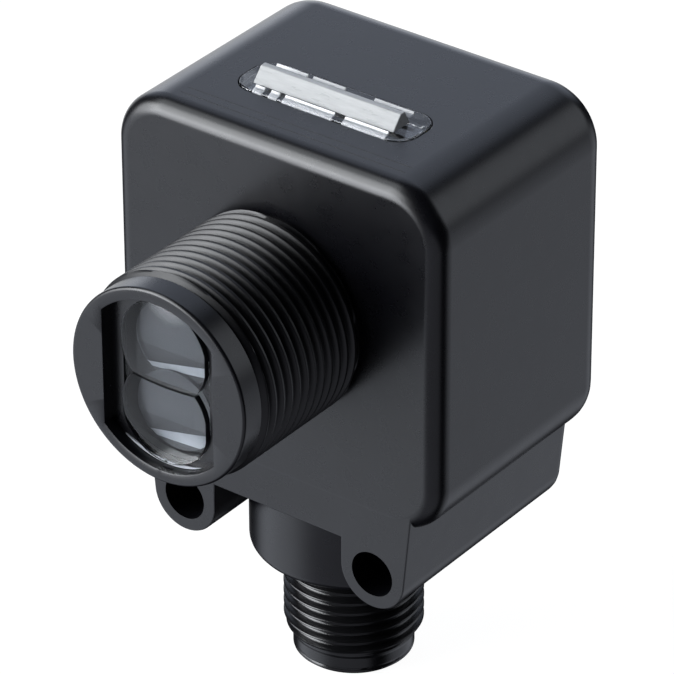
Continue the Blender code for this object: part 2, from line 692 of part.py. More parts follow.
def make_indicator_board():
    """The shelf board under the window, with its two status lights."""
    low, high = INDICATOR_BOARD_Z, INDICATOR_BOARD_Z + INDICATOR_BOARD_THICKNESS
    box("indicator_board", (-9 * MM, WINDOW_Y - 3.4 * MM, low), (9 * MM, BOARD_FRONT - GAP, high),
        BOARD_GREEN, bevel=0.1 * MM)
    half_x, half_y, height = 1.6 * MM, 1.1 * MM, 1.3 * MM
    low, high = high + GAP, high + GAP + height
    for name, x, finish in (("power_led", -LED_X, LED_GREEN), ("output_led", LED_X, LED_YELLOW)):
        box(name, (x - half_x, WINDOW_Y - half_y, low), (x + half_x, WINDOW_Y + half_y, high), finish,
            bevel=0.2 * MM)


def make_indicator_window():
    """The clear window in the top, with a raised light ridge along it, and the seal under it."""
    window = prism("indicator_window", window_outline(0), TO_XY, TOP - WINDOW_THICKNESS, TOP, CLEAR_WINDOW)
    section = [
        (RIDGE_BASE_FRONT, TOP - 0.5 * MM), (RIDGE_BASE_REAR, TOP - 0.5 * MM), (RIDGE_BASE_REAR, TOP),
        (RIDGE_CREST_REAR, TOP + RIDGE_HEIGHT), (RIDGE_CREST_FRONT, TOP + RIDGE_HEIGHT),
        (RIDGE_BASE_FRONT, TOP),
    ]
    ridge = prism("window_ridge", section, TO_YZ, -RIDGE_LENGTH / 2, RIDGE_LENGTH / 2, cutter=True)
    join(window, ridge)

    floor = TOP - WINDOW_SEAT_DEPTH + SEAM
    seal = prism("window_seal", window_outline(-SEAM), TO_XY, floor, floor + SEAL_THICKNESS, SEAL_RUBBER)
    cut(seal, prism("window_seal_opening", window_outline(-WINDOW_LIP), TO_XY, floor - 1 * MM,
                    floor + 2 * MM, cutter=True))


# --- Connector -----------------------------------------------------------------------------------


def pin_places():
    """The four pin positions around the connector's axis."""
    for number in range(4):
        angle = radians(45 + 90 * number)
        yield number + 1, PIN_CIRCLE * cos(angle), CONNECTOR_Y + PIN_CIRCLE * sin(angle)


def make_connector_sleeve():
    """The threaded tube, held by a flange inside the boss, with a cup and a key for the mating plug."""
    flange_low = BOSS_BOTTOM + BOSS_FLOOR + GAP
    groove = 1.1 * MM
    groove_floor = SLEEVE_FLANGE - 1.2 * MM
    mouth = 0.3 * MM
    profile = [
        (CUP_RADIUS, SLEEVE_TOP),
        (THREAD_RADIUS - 0.4 * MM, SLEEVE_TOP),
        (THREAD_RADIUS - 0.4 * MM, FLANGE_TOP),
        (SLEEVE_FLANGE, FLANGE_TOP),
        (SLEEVE_FLANGE, SEAL_RING_Z + groove),
        (groove_floor, SEAL_RING_Z + groove),
        (groove_floor, SEAL_RING_Z - groove),
        (SLEEVE_FLANGE, SEAL_RING_Z - groove),
        (SLEEVE_FLANGE, flange_low),
        (THREAD_RADIUS, flange_low),
        (THREAD_RADIUS, THREAD_END),
        (PILOT_RADIUS, CHAMFER_END),
        (PILOT_RADIUS, PLUG_END + mouth),
        (PILOT_RADIUS - mouth, PLUG_END),
        (CUP_RADIUS, PLUG_END),
    ]
    sleeve = turned("connector_sleeve", profile, (0, CONNECTOR_Y, 0), closed=True, finish=BLACK_SLEEVE)
    key = box("connector_key",
              (-KEY_WIDTH / 2, CONNECTOR_Y + CUP_RADIUS - KEY_HEIGHT, PLUG_END + 1.5 * MM),
              (KEY_WIDTH / 2, CONNECTOR_Y + CUP_RADIUS + 0.4 * MM, CUP_FLOOR - GAP), cutter=True)
    join(sleeve, key)


def make_connector_insert():
    """The moulded block that holds the four pins in the sleeve."""
    insert = cylinder("connector_insert", CUP_RADIUS - SEAM, SLEEVE_TOP - CUP_FLOOR,
                      (0, CONNECTOR_Y, CUP_FLOOR), finish=BLACK_INSERT)
    for number, x, y in pin_places():
        cut(insert, cylinder(f"pin_hole_{number}", PIN_RADIUS + SEAM, SLEEVE_TOP - CUP_FLOOR + 2 * MM,
                             (x, y, CUP_FLOOR - 1 * MM), steps=12, cutter=True))


def make_contact_pins():
    for number, x, y in pin_places():
        tip = arc(PIN_RADIUS, 0, -pi / 2, 4, (0, PIN_TIP + PIN_RADIUS))
        turned(f"contact_pin_{number}", [(0, PIN_TAIL), (PIN_RADIUS, PIN_TAIL)] + tip, (x, y, 0),
               steps=12, finish=PIN_GOLD)


def make_connector_leads():
    """One short wire from each pin's tail to the main board."""
    end = BOARD_FRONT - GAP - LEAD_RADIUS / 2
    for number, x, y in pin_places():
        front_row = y < CONNECTOR_Y
        level = -7.9 * MM if front_row else -10.3 * MM
        spread = x * (1.5 if front_row else 1.0)
        route = [
            (x, y, PIN_TAIL + GAP),
            (x, y, PIN_TAIL + 1.6 * MM),
            (x, y + 0.6 * MM, level - 1.2 * MM),
            ((x + spread) / 2, (y + end) / 2, level),
            (spread, end - 1.2 * MM, level + 0.1 * MM),
            (spread, end, level + 0.1 * MM),
        ]
        tube(f"connector_lead_{number}", smooth_route(route), LEAD_RADIUS, LEAD_COPPER)


def make_connector_seal():
    """The sealing ring in the sleeve's groove."""
    thickness = 0.55 * MM
    ring = BOSS_BORE - SEAM - thickness
    section = arc(thickness, pi / 2, pi / 2 - tau * 7 / 8, 8, (ring, SEAL_RING_Z))
    turned("connector_seal", section, (0, CONNECTOR_Y, 0), steps=32, closed=True, finish=SEAL_RUBBER)


# --- Sensitivity adjuster ------------------------------------------------------------------------


def make_adjuster():
    """The trimmer on the main board and its slotted rotor, which turns about the line through both."""
    half = ADJUSTER_SIDE / 2
    body = box("adjuster_body", (-half, ADJUSTER_FRONT, ADJUSTER_Z - half),
               (half, ADJUSTER_BACK, ADJUSTER_Z + half), ADJUSTER_BLUE, bevel=0.2 * MM)
    pocket_floor = ADJUSTER_FRONT + 1 * MM
    pocket = cylinder("adjuster_pocket", ADJUSTER_POCKET, 4 * MM, (0, pocket_floor + 4 * MM, ADJUSTER_Z),
                      TOWARDS_NOSE, cutter=True)
    cut(body, pocket)

    rotor_front = pocket_floor + 0.1 * MM
    flange_back = rotor_front + 0.9 * MM
    profile = [
        (0, ROTOR_FACE - rotor_front),
        (ROTOR_RADIUS - 0.2 * MM, ROTOR_FACE - rotor_front),
        (ROTOR_RADIUS, ROTOR_FACE - rotor_front - 0.2 * MM),
        (ROTOR_RADIUS, flange_back - rotor_front),
        (ROTOR_FLANGE, flange_back - rotor_front),
        (ROTOR_FLANGE, 0),
        (0, 0),
    ]
    rotor = turned("adjuster_rotor", profile, (0, rotor_front, ADJUSTER_Z), (-pi / 2, 0, 0),
                   finish=ROTOR_GREY)
    slot_half = ROTOR_SLOT_WIDTH / 2
    reach = ROTOR_RADIUS - 0.5 * MM
    slot = box("rotor_slot", (-slot_half, ROTOR_FACE - ROTOR_SLOT_DEPTH, ADJUSTER_Z - reach),
               (slot_half, ROTOR_FACE + 1 * MM, ADJUSTER_Z + reach), cutter=True)
    cut(rotor, slot)

    thickness = 0.22 * MM
    seal_y = (ADJUSTER_BACK - COVER_PLATE) / 2
    section = arc(thickness, pi / 2, pi / 2 - tau * 5 / 6, 6, (ROTOR_RADIUS + thickness + 0.1 * MM, 0))
    turned("adjuster_seal", section, (0, seal_y, ADJUSTER_Z), TOWARDS_NOSE, SMALL_STEPS, closed=True,
           finish=SEAL_RUBBER)


make_housing()
make_rear_cover()
make_lens_bezel()
make_twin_lens()
make_lens_seal()
make_optics_carrier()
make_optics_board()
make_main_board()
make_board_link()
make_indicator_board()
make_indicator_window()
make_connector_sleeve()
make_connector_insert()
make_contact_pins()
make_connector_leads()
make_connector_seal()
make_adjuster()
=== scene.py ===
from math import acos, asin, cos, pi, radians, sin, sqrt, tau

import bmesh
import bpy
from mathutils import Matrix, Vector


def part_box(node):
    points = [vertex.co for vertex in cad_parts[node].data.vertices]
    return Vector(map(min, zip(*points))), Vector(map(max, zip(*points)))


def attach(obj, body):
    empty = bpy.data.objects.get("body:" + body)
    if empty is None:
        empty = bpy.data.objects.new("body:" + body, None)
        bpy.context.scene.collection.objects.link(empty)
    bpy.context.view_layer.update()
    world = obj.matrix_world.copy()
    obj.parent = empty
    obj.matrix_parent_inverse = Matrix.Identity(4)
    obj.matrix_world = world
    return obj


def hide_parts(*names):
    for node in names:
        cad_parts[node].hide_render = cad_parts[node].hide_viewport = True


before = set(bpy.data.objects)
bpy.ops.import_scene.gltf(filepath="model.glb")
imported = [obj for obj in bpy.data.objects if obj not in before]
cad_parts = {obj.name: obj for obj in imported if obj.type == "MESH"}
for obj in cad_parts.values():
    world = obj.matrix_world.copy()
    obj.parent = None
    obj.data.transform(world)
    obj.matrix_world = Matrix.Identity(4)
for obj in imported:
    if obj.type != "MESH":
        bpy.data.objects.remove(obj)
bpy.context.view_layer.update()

# Shapes are made in millimetres, in the part's frame, and scaled to metres when they are finished.
MM = 0.001


def box_of(node):
    """A CAD node's lowest and highest corners, in millimetres."""
    low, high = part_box(node)
    return low / MM, high / MM


HOUSING_LOW, HOUSING_HIGH = box_of("housing")
BEZEL_LOW, BEZEL_HIGH = box_of("lens_bezel")
LENS_LOW, LENS_HIGH = box_of("twin_lens")
WINDOW_LOW, WINDOW_HIGH = box_of("indicator_window")
COVER_LOW, COVER_HIGH = box_of("rear_cover")
SLEEVE_LOW, SLEEVE_HIGH = box_of("connector_sleeve")
ROTOR_LOW, ROTOR_HIGH = box_of("adjuster_rotor")
CARRIER_LOW, CARRIER_HIGH = box_of("optics_carrier")

# Block
FRONT = -23.5
SIDE = HOUSING_HIGH.x
TOP = HOUSING_HIGH.z
BOTTOM = -16.9
CORNER = 5.05
FRONT_FILLET = 1.6
REAR_FILLET = 2.8
WALL = 3.3
FRONT_WALL = 2.5
SEAM = 0.15
CAVITY_CORNER = 2.0
WITNESS_LINES = (-21.3, -20.35)
WITNESS_HALF = 0.035
WITNESS_DEPTH = 0.03
WITNESS_ENDS = (-11.0, 11.4)

# Nose
NOSE_AXIS = Matrix.Rotation(pi / 2, 4, "X")
NOSE_RADIUS = 9.0
NOSE_BORE = 7.6
NOSE_START = HOUSING_LOW.y
NOSE_PITCH = 1.035
GROOVE_DEPTH = 0.52
ROOT_SHARE = 0.2
CREST_SHARE = 0.22
NECK_RADIUS = 8.45
NECK_LENGTH = 0.62
NOSE_LEAD = 0.45
FIRST_GROOVE = 1.15
BEZEL_RADIUS = BEZEL_HIGH.x
BEZEL_FRONT = BEZEL_LOW.y
BEZEL_PLATE = 1.15
BEZEL_ROUND = 0.28
BEZEL_BORE = 7.75
BEZEL_REAR_BREAK = 0.08
COLLAR_GAP = 0.05
SLOT_HALF = 5.5
SLOT_ARC = 7.6

# Twin lens
LENS_RADIUS = LENS_HIGH.x
LENS_FRONT = BEZEL_FRONT + BEZEL_PLATE + SEAM
LENS_BACK = LENS_HIGH.y
LOBE_RADIUS = 4.28
LOBE_CENTRE = 3.0
LOBE_HALF = 4.2
LOBE_APEX = LENS_LOW.y
LOBE_SAG = 0.45
DISC_RADIUS = 3.6
DISC_CENTRE = 3.05
DISC_THICK = 0.35
CHANNEL_RADIUS = 3.3
CHANNEL_CENTRE = 3.45

# Window
WINDOW_MIDDLE = (WINDOW_LOW.y + WINDOW_HIGH.y) / 2
WINDOW_HALF = WINDOW_HIGH.x
WINDOW_DEEP = (WINDOW_HIGH.y - WINDOW_LOW.y) / 2
WINDOW_CORNER = 1.8
WINDOW_BASE = WINDOW_LOW.z
WINDOW_RAISE = 0.12
WINDOW_SEAT = 2.5
WINDOW_LIP = 1.1
RIDGE_TOP = WINDOW_HIGH.z
RIDGE_HALF = 7.0

# Ears and boss
EAR_X = 9.76
EAR_Z = -21.8
EAR_RADIUS = 3.2
EAR_FLARE = radians(5.6)
EAR_TOP = -14.0
EAR_FRONT = FRONT + 0.03
EAR_REAR = -0.4
EAR_REAR_ROUND = 1.2
EAR_HOLE = 2.05
APRON_HALF = EAR_X - EAR_RADIUS + 1
APRON_FRONT = FRONT + 0.06
APRON_BOTTOM = -19.5
APRON_TOP = EAR_TOP - 0.3
CONNECTOR_Y = (SLEEVE_LOW.y + SLEEVE_HIGH.y) / 2
BOSS_RADIUS = 8.85
BOSS_TOP = BOTTOM + 1.7
BOSS_BOTTOM = HOUSING_LOW.z
BOSS_FLOOR = 1
BOSS_ROUND = 0.9
BOSS_BORE = 7.2

# Connector
THREAD_RADIUS = 6.0
THREAD_PITCH = 1.0
THREAD_END = -35.2
CHAMFER_END = -36.5
THREAD_DEPTH = 0.58
PILOT_RADIUS = 5.2
PILOT_GROOVE = 0.07
MOUTH_ROUND = 0.35
PLUG_END = SLEEVE_LOW.z
CUP_RADIUS = 4.25
KEY_HALF = 0.65
KEY_HEIGHT = 0.75
KEY_TOP = -29.5

# Adjuster
ADJUSTER_Z = (ROTOR_LOW.z + ROTOR_HIGH.z) / 2
ROTOR_FACE = ROTOR_HIGH.y
ROTOR_RADIUS = 2.1
WELL_RADIUS = 3.0
WELL_DEPTH = 0.5

# Floor, just below the plug
FLOOR_Z = PLUG_END - 0.05


# --- Camera, light and floor ---------------------------------------------------------------------


def make_camera():
    """The photograph's view: 37 degrees to the object's left front, from 31 degrees above."""
    azimuth, elevation, roll = radians(37.012), radians(31.107), radians(0.206)
    back = Vector((sin(azimuth) * cos(elevation), -cos(azimuth) * cos(elevation), sin(elevation)))
    level = Vector((cos(azimuth), sin(azimuth), 0))
    upright = back.cross(level)
    right = cos(roll) * level - sin(roll) * upright
    up = sin(roll) * level + cos(roll) * upright
    data = bpy.data.cameras.new("camera")
    data.sensor_width = 36
    data.lens = 279.2
    camera = bpy.data.objects.new("camera", data)
    bpy.context.scene.collection.objects.link(camera)
    place = Vector((0, FRONT * MM, 0)) + 0.421206 * back + 0.005032 * right - 0.002256 * up
    turn = Matrix((right, up, back)).transposed().to_4x4()
    camera.matrix_world = Matrix.Translation(place) @ turn
    bpy.context.scene.camera = camera


# Soft patches of studio light: direction from the object, half-angles in degrees where the patch is
# full and where it has faded out, and its colour.
LIGHTS = (
    ((-0.500, 0.680, 0.530), 24, 44, (0.72, 0.80, 0.97)),
    ((-0.740, 0.660, -0.120), 14, 29, (0.95, 0.97, 1.00)),
    ((0.600, 0.690, 0.400), 12, 27, (1.00, 1.05, 1.14)),
    ((-0.680, -0.520, -0.520), 10, 40, (1.00, 1.06, 1.17)),
    ((0.515, 0.684, -0.517), 18, 40, (0.56, 0.59, 0.66)),
    ((-0.515, -0.390, 0.764), 9, 22, (2.3, 2.4, 2.5)),
    ((-0.515, -0.745, 0.415), 10, 24, (6.8, 7.0, 7.2)),
    ((-0.515, -0.857, -0.017), 9, 18, (8.4, 8.6, 9.0)),
    ((-0.800, -0.570, 0.180), 10, 24, (5.2, 5.3, 5.5)),
    ((0.350, -0.720, -0.600), 24, 42, (0.34, 0.35, 0.40)),
)
AMBIENT = (0.012, 0.012, 0.015)


def make_world():
    """A dark studio with soft bright patches, built from the direction alone."""
    world = bpy.data.worlds.new("studio")
    bpy.context.scene.world = world
    world.use_nodes = True
    nodes, links = world.node_tree.nodes, world.node_tree.links
    direction = nodes.new("ShaderNodeTexCoord").outputs["Generated"]
    total = nodes.new("ShaderNodeCombineXYZ")
    for socket, value in zip(total.inputs, AMBIENT):
        socket.default_value = value
    total = total.outputs["Vector"]
    for towards, full, faded, colour in LIGHTS:
        dot = nodes.new("ShaderNodeVectorMath")
        dot.operation = "DOT_PRODUCT"
        dot.inputs[1].default_value = Vector(towards).normalized()
        links.new(direction, dot.inputs[0])
        fade = nodes.new("ShaderNodeMapRange")
        fade.interpolation_type = "SMOOTHSTEP"
        fade.inputs["From Min"].default_value = cos(radians(faded))
        fade.inputs["From Max"].default_value = cos(radians(full))
        links.new(dot.outputs["Value"], fade.inputs["Value"])
        patch = nodes.new("ShaderNodeVectorMath")
        patch.operation = "SCALE"
        patch.inputs[0].default_value = colour
        links.new(fade.outputs["Result"], patch.inputs["Scale"])
        add = nodes.new("ShaderNodeVectorMath")
        add.operation = "ADD"
        links.new(total, add.inputs[0])
        links.new(patch.outputs["Vector"], add.inputs[1])
        total = add.outputs["Vector"]
    links.new(total, nodes["Background"].inputs["Color"])


def make_floor():
    """A pale floor that glows a little, so that it stays near white and holds only a soft shadow."""
    shape = bmesh.new()
    bmesh.ops.create_grid(shape, x_segments=2, y_segments=2, size=3.0)
    mesh = bpy.data.meshes.new("floor")
    shape.to_mesh(mesh)
    shape.free()
    floor = bpy.data.objects.new("floor", mesh)
    floor.location = (0, 0, FLOOR_Z * MM)
    bpy.context.scene.collection.objects.link(floor)
    pale = bpy.data.materials.new("floor")
    pale.use_nodes = True
    shader = pale.node_tree.nodes["Principled BSDF"]
    shader.inputs["Base Color"].default_value = (0.12, 0.12, 0.12, 1)
    shader.inputs["Roughness"].default_value = 0.9
    shader.inputs["Specular IOR Level"].default_value = 0.0
    shader.inputs["Emission Color"].default_value = (1, 1, 1, 1)
    shader.inputs["Emission Strength"].default_value = 0.97
    mesh.materials.append(pale)
    floor.visible_glossy = False
    floor.visible_diffuse = False
    floor.visible_transmission = False
    floor.visible_shadow = False


# --- Materials -----------------------------------------------------------------------------------


def new_material(name, roughness, metallic=0.0):
    """A material and its Principled shader."""
    made = bpy.data.materials.new(name)
    made.use_nodes = True
    shader = made.node_tree.nodes["Principled BSDF"]
    shader.inputs["Roughness"].default_value = roughness
    shader.inputs["Metallic"].default_value = metallic
    return made, shader


def noise(made, size, detail=2.0, stretch=(1, 1, 1)):
    """A noise texture in object space whose features are about size millimetres across."""
    nodes, links = made.node_tree.nodes, made.node_tree.links
    where = nodes.new("ShaderNodeTexCoord")
    scaled = nodes.new("ShaderNodeMapping")
    scaled.inputs["Scale"].default_value = [1 / (size * MM) / axis for axis in stretch]
    links.new(where.outputs["Object"], scaled.inputs["Vector"])
    texture = nodes.new("ShaderNodeTexNoise")
    texture.inputs["Scale"].default_value = 1.0
    texture.inputs["Detail"].default_value = detail
    links.new(scaled.outputs["Vector"], texture.inputs["Vector"])
    return texture.outputs["Fac"]


def spread(made, value, low, high, start=0.3, end=0.7):
    """Maps a noise value onto a range."""
    nodes, links = made.node_tree.nodes, made.node_tree.links
    mapped = nodes.new("ShaderNodeMapRange")
    mapped.inputs["From Min"].default_value = start
    mapped.inputs["From Max"].default_value = end
    mapped.inputs["To Min"].default_value = low
    mapped.inputs["To Max"].default_value = high
    links.new(value, mapped.inputs["Value"])
    return mapped.outputs["Result"]


def blended(made, value, first, second):
    """A colour between two, by a noise value."""
    nodes, links = made.node_tree.nodes, made.node_tree.links
    ramp = nodes.new("ShaderNodeValToRGB")
    ramp.color_ramp.elements[0].position = 0.3
    ramp.color_ramp.elements[1].position = 0.7
    ramp.color_ramp.elements[0].color = (*first, 1)
    ramp.color_ramp.elements[1].color = (*second, 1)
    links.new(value, ramp.inputs["Fac"])
    return ramp.outputs["Color"]


def bumped(made, shader, value, depth):
    """Raises the surface by a noise value, to about depth millimetres."""
    nodes, links = made.node_tree.nodes, made.node_tree.links
    bump = nodes.new("ShaderNodeBump")
    bump.inputs["Distance"].default_value = depth * MM
    bump.inputs["Strength"].default_value = 1.0
    links.new(value, bump.inputs["Height"])
    links.new(bump.outputs["Normal"], shader.inputs["Normal"])


def moulded(name, dark, light, roughness, grain=0.16, depth=0.003, patch=4.0, vary=0.015):
    """A moulded plastic: fine grain, soft clouds of colour and roughness, and faint rubbed marks."""
    made, shader = new_material(name, roughness)
    links = made.node_tree.links
    links.new(blended(made, noise(made, patch, 3.0), dark, light), shader.inputs["Base Color"])
    rubbed = noise(made, 1.6, 4.0)
    links.new(spread(made, rubbed, roughness - vary, roughness + vary), shader.inputs["Roughness"])
    bumped(made, shader, noise(made, grain, 2.0), depth)
    return made


def metal(name, dark, light, roughness, lines=(1, 1, 12)):
    """A metal with fine drawing lines and slight tarnish."""
    made, shader = new_material(name, roughness, 1.0)
    links = made.node_tree.links
    links.new(blended(made, noise(made, 0.8, 3.0), dark, light), shader.inputs["Base Color"])
    drawn = noise(made, 0.06, 2.0, lines)
    links.new(spread(made, drawn, roughness * 0.7, roughness * 1.4), shader.inputs["Roughness"])
    bumped(made, shader, drawn, 0.002)
    return made


def clear(name, tint, roughness, ior, ripple):
    """A clear moulding with a barely rippled surface."""
    made, shader = new_material(name, roughness)
    links = made.node_tree.links
    shader.inputs["Transmission Weight"].default_value = 1.0
    shader.inputs["IOR"].default_value = ior
    cloudy = noise(made, 3.0, 2.0)
    links.new(blended(made, cloudy, tint, [min(1.0, c * 1.04) for c in tint]),
              shader.inputs["Base Color"])
    links.new(spread(made, cloudy, roughness * 0.6, roughness * 1.4), shader.inputs["Roughness"])
    bumped(made, shader, noise(made, 1.2, 1.0), ripple)
    return made


def frosted(name, dark, light, through):
    """A bright translucent moulding with a fine drag texture."""
    made, shader = new_material(name, 0.35)
    links = made.node_tree.links
    shader.inputs["Transmission Weight"].default_value = through
    shader.inputs["IOR"].default_value = 1.49
    streaks = noise(made, 0.35, 4.0, (6, 1, 1))
    links.new(blended(made, streaks, dark, light), shader.inputs["Base Color"])
    links.new(spread(made, streaks, 0.25, 0.45), shader.inputs["Roughness"])
    bumped(made, shader, streaks, 0.02)
    return made


def circuit_board(name):
    """Green solder resist over a faint pattern of copper tracks."""
    made, shader = new_material(name, 0.35)
    nodes, links = made.node_tree.nodes, made.node_tree.links
    where = nodes.new("ShaderNodeTexCoord")
    tracks = nodes.new("ShaderNodeTexBrick")
    tracks.inputs["Scale"].default_value = 1 / (4 * MM)
    tracks.inputs["Mortar Size"].default_value = 0.03
    tracks.inputs["Color1"].default_value = (0.012, 0.115, 0.050, 1)
    tracks.inputs["Color2"].default_value = (0.016, 0.135, 0.060, 1)
    tracks.inputs["Mortar"].default_value = (0.030, 0.210, 0.100, 1)
    swapped = nodes.new("ShaderNodeMapping")
    swapped.inputs["Rotation"].default_value = (pi / 2, 0, 0)
    links.new(where.outputs["Object"], swapped.inputs["Vector"])
    links.new(swapped.outputs["Vector"], tracks.inputs["Vector"])
    links.new(tracks.outputs["Color"], shader.inputs["Base Color"])
    fine = noise(made, 0.5, 3.0)
    links.new(spread(made, fine, 0.28, 0.42), shader.inputs["Roughness"])
    bumped(made, shader, tracks.outputs["Fac"], 0.02)
    return made


def lit_resin(name, dark, light):
    """The tinted clear resin of a light source."""
    made, shader = new_material(name, 0.12)
    links = made.node_tree.links
    shader.inputs["Transmission Weight"].default_value = 0.5
    shader.inputs["IOR"].default_value = 1.5
    links.new(blended(made, noise(made, 1.0, 2.0), dark, light), shader.inputs["Base Color"])
    links.new(spread(made, noise(made, 0.5, 2.0), 0.08, 0.2), shader.inputs["Roughness"])
    bumped(made, shader, noise(made, 0.3, 2.0), 0.002)
    return made


BLACK = (0.0018, 0.0018, 0.0028)
BLACK_WORN = (0.0032, 0.0033, 0.0046)
FINISHES = {
    "black_housing": moulded("black_housing", BLACK, BLACK_WORN, 0.28),
    "black_bezel": moulded("black_bezel", BLACK, BLACK_WORN, 0.28, grain=0.12, depth=0.002),
    "black_thread": moulded("black_thread", BLACK, BLACK_WORN, 0.36, grain=0.12, depth=0.003),
    "black_cover": moulded("black_cover", (0.012, 0.0125, 0.0145), (0.018, 0.0185, 0.021), 0.42,
                           depth=0.006),
    "black_sleeve": moulded("black_sleeve", (0.003, 0.003, 0.0035), (0.006, 0.006, 0.0065), 0.2,
                            grain=0.14, depth=0.008),
    "black_insert": moulded("black_insert", (0.012, 0.012, 0.013), (0.02, 0.02, 0.022), 0.55),
    "black_optics": moulded("black_optics", (0.005, 0.005, 0.006), (0.009, 0.009, 0.010), 0.7),
    "seal_rubber": moulded("seal_rubber", (0.006, 0.006, 0.006), (0.011, 0.011, 0.011), 0.78, grain=0.3),
    "chip_black": moulded("chip_black", (0.014, 0.014, 0.015), (0.026, 0.026, 0.027), 0.5, grain=0.08),
    "flex_amber": moulded("flex_amber", (0.36, 0.15, 0.025), (0.52, 0.25, 0.05), 0.3, grain=0.5),
    "capacitor_sleeve": moulded("capacitor_sleeve", (0.02, 0.035, 0.12), (0.035, 0.06, 0.19), 0.32),
    "adjuster_blue": moulded("adjuster_blue", (0.03, 0.085, 0.26), (0.05, 0.12, 0.34), 0.38),
    "rotor_grey": moulded("rotor_grey", (0.20, 0.205, 0.21), (0.30, 0.305, 0.31), 0.4, grain=0.12),
    "can_steel": metal("can_steel", (0.50, 0.50, 0.48), (0.68, 0.68, 0.66), 0.3, (12, 1, 1)),
    "pin_gold": metal("pin_gold", (0.72, 0.50, 0.17), (0.88, 0.66, 0.28), 0.22),
    "lead_copper": metal("lead_copper", (0.62, 0.30, 0.17), (0.80, 0.45, 0.27), 0.3),
    "board_green": circuit_board("board_green"),
    # Painted shade: an opaque dark colour for the clear lens's side walls.
    "lens_wall_painted_shade": moulded("lens_wall_painted_shade", (0.010, 0.011, 0.013), (0.014, 0.015, 0.018), 0.3, 0.3, 0.001),
    "clear_lens": clear("clear_lens", (0.93, 0.95, 0.96), 0.02, 1.30, 0.0005),
    "clear_window": clear("clear_window", (0.90, 0.92, 0.94), 0.05, 1.49, 0.012),
    "window_ridge": frosted("window_ridge", (0.40, 0.41, 0.41), (0.52, 0.53, 0.53), 0.1),
    # Painted highlight: a white colour for strips set into the clear window.
    "window_strip": frosted("window_strip", (0.86, 0.87, 0.88), (0.95, 0.95, 0.96), 0.0),
    "filter_grey": moulded("filter_grey", (0.052, 0.054, 0.060), (0.060, 0.062, 0.069), 0.5, 2.5, 0.0003),
    # Painted shade and painted reflection: the dark and bright facet colours of the filter discs; the
    # bright one also paints the lens lip's reflection.
    "painted_shade_dark": moulded("painted_shade_dark", (0.026, 0.027, 0.031), (0.032, 0.033, 0.037), 0.5, 2.5, 0.0003),
    "filter_bright": moulded("filter_bright", (0.25, 0.27, 0.30), (0.60, 0.62, 0.66), 0.4, 2.5, 0.0003),
    "led_red": lit_resin("led_red", (0.42, 0.03, 0.03), (0.58, 0.06, 0.05)),
    "led_green": lit_resin("led_green", (0.08, 0.42, 0.13), (0.14, 0.58, 0.20)),
    "led_yellow": lit_resin("led_yellow", (0.68, 0.46, 0.05), (0.84, 0.60, 0.10)),
    "diode_dark": lit_resin("diode_dark", (0.02, 0.012, 0.03), (0.04, 0.028, 0.05)),
}


# --- Mesh helpers --------------------------------------------------------------------------------


def made_object(name, shape):
    """An object from a bmesh that is still in millimetres."""
    bmesh.ops.recalc_face_normals(shape, faces=shape.faces)
    mesh = bpy.data.meshes.new(name)
    shape.to_mesh(mesh)
    shape.free()
    piece = bpy.data.objects.new(name, mesh)
    bpy.context.scene.collection.objects.link(piece)
    return piece


def arc(radius, start, end, count, centre=(0, 0)):
    """Points along an arc, both ends included."""
    step = (end - start) / (count - 1)
    angles = [start + step * i for i in range(count)]
    return [(centre[0] + radius * cos(angle), centre[1] + radius * sin(angle)) for angle in angles]


def rounded_rectangle(low, high, radius, count=17):
    """A rectangle outline with round corners."""
    corners = ((high[0], low[1]), (high[0], high[1]), (low[0], high[1]), (low[0], low[1]))
    points = []
    for turn, (u, v) in enumerate(corners):
        start = -pi / 2 + turn * pi / 2
        inward = (u - radius if u > low[0] else u + radius, v - radius if v > low[1] else v + radius)
        points += arc(radius, start, start + pi / 2, count, inward)
    return points


def double_flat(radius, half, count=49):
    """A circle cut by two upright chords."""
    rise = acos(half / radius)
    return arc(radius, rise, pi - rise, count) + arc(radius, pi + rise, tau - rise, count)


def along_x(u, v, w):
    return w, u, v


def along_y(u, v, w):
    return u, w, v


def along_z(u, v, w):
    return u, v, w


def extruded(name, outline, axis, start, end):
    """A closed outline drawn across one axis and run along it from start to end."""
    shape = bmesh.new()
    first = [shape.verts.new(axis(u, v, start)) for u, v in outline]
    last = [shape.verts.new(axis(u, v, end)) for u, v in outline]
    shape.faces.new(first)
    shape.faces.new(last)
    for i in range(len(outline)):
        j = (i + 1) % len(outline)
        shape.faces.new((first[i], first[j], last[j], last[i]))
    return made_object(name, shape)


def turned(name, profile, placing, steps=192, closed=True):
    """A (radius, height) profile turned about its own Z and moved to its place."""
    shape = bmesh.new()
    columns = []
    for i in range(steps):
        angle = tau * i / steps
        columns.append([shape.verts.new((r * cos(angle), r * sin(angle), h)) for r, h in profile])
    count = len(profile)
    for i in range(steps):
        here, there = columns[i], columns[(i + 1) % steps]
        for j in range(count if closed else count - 1):
            k = (j + 1) % count
            shape.faces.new((here[j], there[j], there[k], here[k]))
    bmesh.ops.remove_doubles(shape, verts=shape.verts, dist=0.00001)
    bmesh.ops.transform(shape, matrix=placing, verts=shape.verts)
    return made_object(name, shape)


def rounded_box(name, low, high, radius, front, rear):
    """A box whose edges along Y are rounded, and then its front and rear rims."""
    low, high = Vector(low), Vector(high)
    size = high - low
    shape = bmesh.new()
    bmesh.ops.create_cube(shape, size=1)
    bmesh.ops.scale(shape, vec=size, verts=shape.verts)
    upright = [e for e in shape.edges if abs(e.verts[0].co.y - e.verts[1].co.y) > size.y / 2]
    bmesh.ops.bevel(shape, geom=upright, offset=radius, segments=20, profile=0.5, affect="EDGES")
    for side, fillet in ((-1, front), (1, rear)):
        rim = [e for e in shape.edges if all(v.co.y * side > size.y / 2 - 1e-4 for v in e.verts)]
        bmesh.ops.bevel(shape, geom=rim, offset=fillet, segments=10, profile=0.5, affect="EDGES")
    bmesh.ops.translate(shape, vec=(low + high) / 2, verts=shape.verts)
    return made_object(name, shape)


